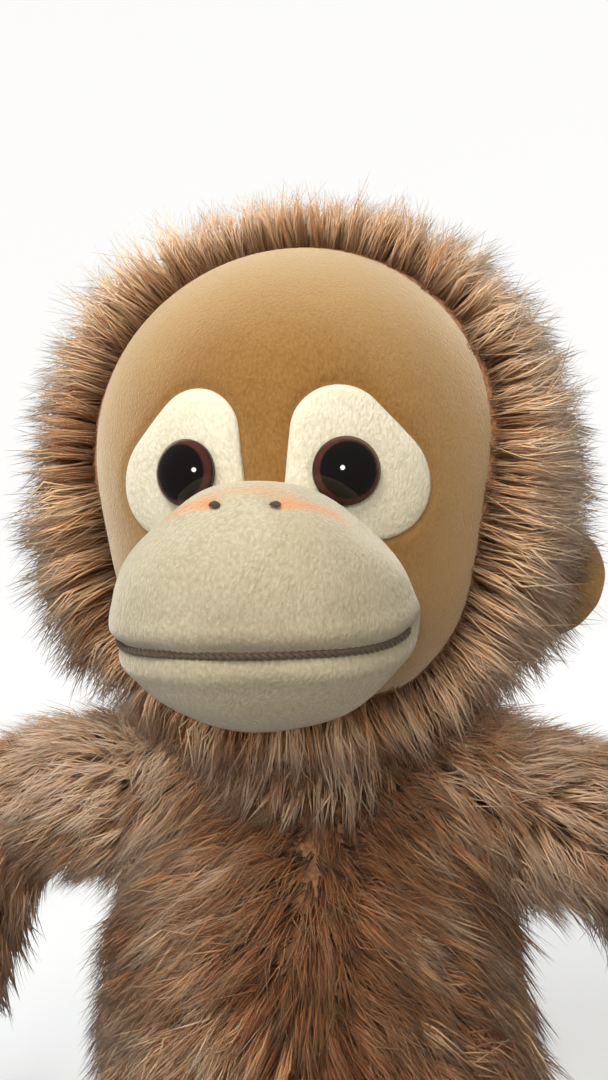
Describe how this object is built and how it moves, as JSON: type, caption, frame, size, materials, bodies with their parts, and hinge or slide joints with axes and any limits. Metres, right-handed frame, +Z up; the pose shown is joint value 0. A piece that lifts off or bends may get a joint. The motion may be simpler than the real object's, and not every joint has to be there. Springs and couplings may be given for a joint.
{
  "type": "stuffed monkey",
  "caption": "Seated long-pile stuffed monkey with a short-pile face and muzzle, domed safety eyes, round ears and hinged soft limbs, neck, hands and feet.",
  "frame": {"origin": "middle of the flat seat panel, on the surface the toy sits on", "axes": "+Z up, the monkey faces -Y, +X is the monkey's left"},
  "size_m": [0.3872, 0.3139, 0.385],
  "materials": {
    "long_pile_plush": "long glossy pile",
    "tan_short_pile": "short brushed pile",
    "cream_short_pile": "short brushed pile",
    "fibre_fill": "loose polyester fibre",
    "brown_thread": "twisted thread",
    "dark_thread": "twisted thread",
    "iris_dome": "polished",
    "pupil": "polished",
    "black_plastic": "moulded",
    "washer_plastic": "moulded",
    "label_tape": "woven satin tape"
  },
  "bodies": {
    "torso": {"torso_fur_front": "long_pile_plush", "torso_fur_back": "long_pile_plush", "seat_panel": "long_pile_plush", "torso_stuffing": "fibre_fill", "care_label": "label_tape"},
    "neck": {"neck_fur": "long_pile_plush", "neck_stuffing": "fibre_fill"},
    "head": {"head_fur_left": "long_pile_plush", "head_fur_right": "long_pile_plush", "head_stuffing": "fibre_fill", "face_panel": "tan_short_pile", "eye_patch_left": "cream_short_pile", "eye_patch_right": "cream_short_pile", "muzzle_cover": "cream_short_pile", "muzzle_stuffing": "fibre_fill", "mouth_stitching": "brown_thread", "nostril_stitches": "dark_thread", "eye_dome_left": "iris_dome", "eye_dome_right": "iris_dome", "eye_pupil_left": "pupil", "eye_pupil_right": "pupil", "eye_post_left": "black_plastic", "eye_post_right": "black_plastic", "eye_washer_left": "washer_plastic", "eye_washer_right": "washer_plastic", "ear_front_left": "tan_short_pile", "ear_front_right": "tan_short_pile", "ear_back_left": "tan_short_pile", "ear_back_right": "tan_short_pile"},
    "shoulder_left": {"shoulder_wad_left": "fibre_fill"},
    "upper_arm_left": {"upper_arm_fur_left": "long_pile_plush", "upper_arm_stuffing_left": "fibre_fill"},
    "forearm_left": {"forearm_fur_left": "long_pile_plush", "forearm_stuffing_left": "fibre_fill"},
    "hand_left": {"hand_palm_left": "tan_short_pile", "hand_back_left": "tan_short_pile", "hand_stuffing_left": "fibre_fill"},
    "thigh_left": {"thigh_fur_left": "long_pile_plush", "thigh_stuffing_left": "fibre_fill"},
    "shin_left": {"shin_fur_left": "long_pile_plush", "shin_stuffing_left": "fibre_fill"},
    "foot_left": {"foot_sole_left": "tan_short_pile", "foot_top_left": "tan_short_pile", "foot_stuffing_left": "fibre_fill"},
    "shoulder_right": {"shoulder_wad_right": "fibre_fill"},
    "upper_arm_right": {"upper_arm_fur_right": "long_pile_plush", "upper_arm_stuffing_right": "fibre_fill"},
    "forearm_right": {"forearm_fur_right": "long_pile_plush", "forearm_stuffing_right": "fibre_fill"},
    "hand_right": {"hand_palm_right": "tan_short_pile", "hand_back_right": "tan_short_pile", "hand_stuffing_right": "fibre_fill"},
    "thigh_right": {"thigh_fur_right": "long_pile_plush", "thigh_stuffing_right": "fibre_fill"},
    "shin_right": {"shin_fur_right": "long_pile_plush", "shin_stuffing_right": "fibre_fill"},
    "foot_right": {"foot_sole_right": "tan_short_pile", "foot_top_right": "tan_short_pile", "foot_stuffing_right": "fibre_fill"}
  },
  "joints": [
    {"name": "neck_turn", "type": "hinge", "parent": "torso", "child": "neck", "pos_m": [0, 0, 0.186], "axis": [0, 0, 1], "range_deg": [-40, 40]},
    {"name": "head_nod", "type": "hinge", "parent": "neck", "child": "head", "pos_m": [0, 0, 0.186], "axis": [-1, 0, 0], "range_deg": [-20, 15]},
    {"name": "shoulder_swing_left", "type": "hinge", "parent": "torso", "child": "shoulder_left", "pos_m": [0.072, 0, 0.16], "axis": [0, 0, -1], "range_deg": [-25, 40]},
    {"name": "shoulder_raise_left", "type": "hinge", "parent": "shoulder_left", "child": "upper_arm_left", "pos_m": [0.072, 0, 0.16], "axis": [0, -1, 0], "range_deg": [-20, 35]},
    {"name": "elbow_left", "type": "hinge", "parent": "upper_arm_left", "child": "forearm_left", "pos_m": [0.12777, -0.00225, 0.15549], "axis": [-1, 0, 0], "range_deg": [-10, 70]},
    {"name": "wrist_left", "type": "hinge", "parent": "forearm_left", "child": "hand_left", "pos_m": [0.16027, -0.01176, 0.06673], "axis": [-1, 0, 0], "range_deg": [-30, 30]},
    {"name": "hip_left", "type": "hinge", "parent": "torso", "child": "thigh_left", "pos_m": [0.04, -0.057, 0.034], "axis": [-1, 0, 0], "range_deg": [-85, 15]},
    {"name": "knee_left", "type": "hinge", "parent": "thigh_left", "child": "shin_left", "pos_m": [0.04842, -0.12648, 0.0326], "axis": [-1, 0, 0], "range_deg": [-40, 10]},
    {"name": "ankle_left", "type": "hinge", "parent": "shin_left", "child": "foot_left", "pos_m": [0.05444, -0.18603, 0.02839], "axis": [-1, 0, 0], "range_deg": [-20, 10]},
    {"name": "shoulder_swing_right", "type": "hinge", "parent": "torso", "child": "shoulder_right", "pos_m": [-0.072, 0, 0.16], "axis": [0, 0, 1], "range_deg": [-25, 40]},
    {"name": "shoulder_raise_right", "type": "hinge", "parent": "shoulder_right", "child": "upper_arm_right", "pos_m": [-0.072, 0, 0.16], "axis": [0, 1, 0], "range_deg": [-20, 35]},
    {"name": "elbow_right", "type": "hinge", "parent": "upper_arm_right", "child": "forearm_right", "pos_m": [-0.12777, -0.00225, 0.15549], "axis": [-1, 0, 0], "range_deg": [-10, 70]},
    {"name": "wrist_right", "type": "hinge", "parent": "forearm_right", "child": "hand_right", "pos_m": [-0.16027, -0.01176, 0.06673], "axis": [-1, 0, 0], "range_deg": [-30, 30]},
    {"name": "hip_right", "type": "hinge", "parent": "torso", "child": "thigh_right", "pos_m": [-0.04, -0.057, 0.034], "axis": [-1, 0, 0], "range_deg": [-85, 15]},
    {"name": "knee_right", "type": "hinge", "parent": "thigh_right", "child": "shin_right", "pos_m": [-0.04842, -0.12648, 0.0326], "axis": [-1, 0, 0], "range_deg": [-40, 10]},
    {"name": "ankle_right", "type": "hinge", "parent": "shin_right", "child": "foot_right", "pos_m": [-0.05444, -0.18603, 0.02839], "axis": [-1, 0, 0], "range_deg": [-20, 10]}
  ]
}
